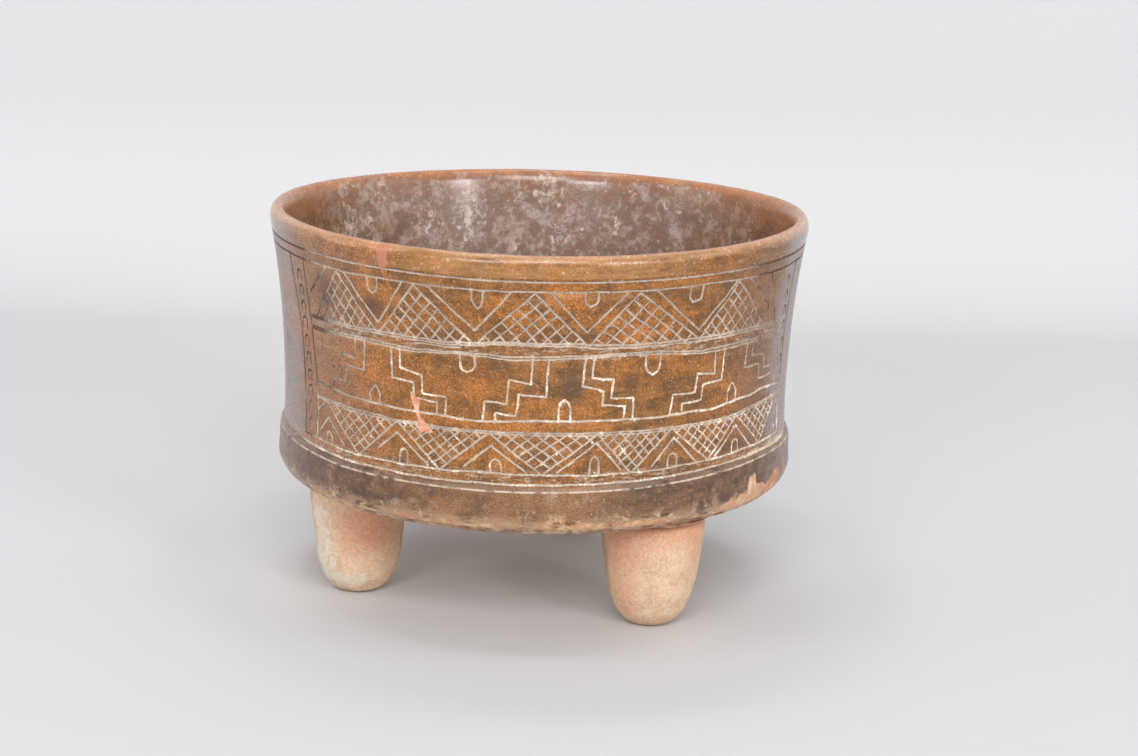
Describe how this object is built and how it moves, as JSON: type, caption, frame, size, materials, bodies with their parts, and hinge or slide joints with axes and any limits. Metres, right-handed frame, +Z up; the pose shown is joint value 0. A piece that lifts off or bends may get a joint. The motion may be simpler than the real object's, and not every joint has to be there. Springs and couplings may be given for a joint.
{
  "type": "tripod vessel",
  "caption": "Round fired-clay tripod bowl with a flaring wall, rolled rim, basal band and short solid nub feet, open at the top.",
  "frame": {"origin": "on the vessel's axis, on the plane that the three feet stand on", "axes": "+Z up along the vessel's axis; -Y towards the front, the side that shows the middle of the incised panel; +X to the viewer's right of it"},
  "size_m": [0.2002, 0.2002, 0.1447],
  "materials": {
    "wall_slip": "burnished brown slip, mottled orange to dark brown, incised lines filled with a pale mineral",
    "rim_slip": "burnished brown slip worn tan along the lip",
    "band_slip": "burnished dark brown slip with buff losses along the lower edge",
    "floor_slip": "brown slip with pale mineral deposits",
    "bare_clay": "unslipped buff and salmon clay, matt and granular",
    "luting_clay": "thin smear of unslipped clay, matt"
  },
  "bodies": {
    "root": {"floor_slab": "floor_slip", "wall": "wall_slip", "rim_coil": "rim_slip", "basal_band": "band_slip", "corner_coil": "floor_slip", "foot_right": "bare_clay", "foot_left": "bare_clay", "foot_back": "bare_clay", "lute_right": "luting_clay", "lute_left": "luting_clay", "lute_back": "luting_clay"}
  },
  "joints": []
}
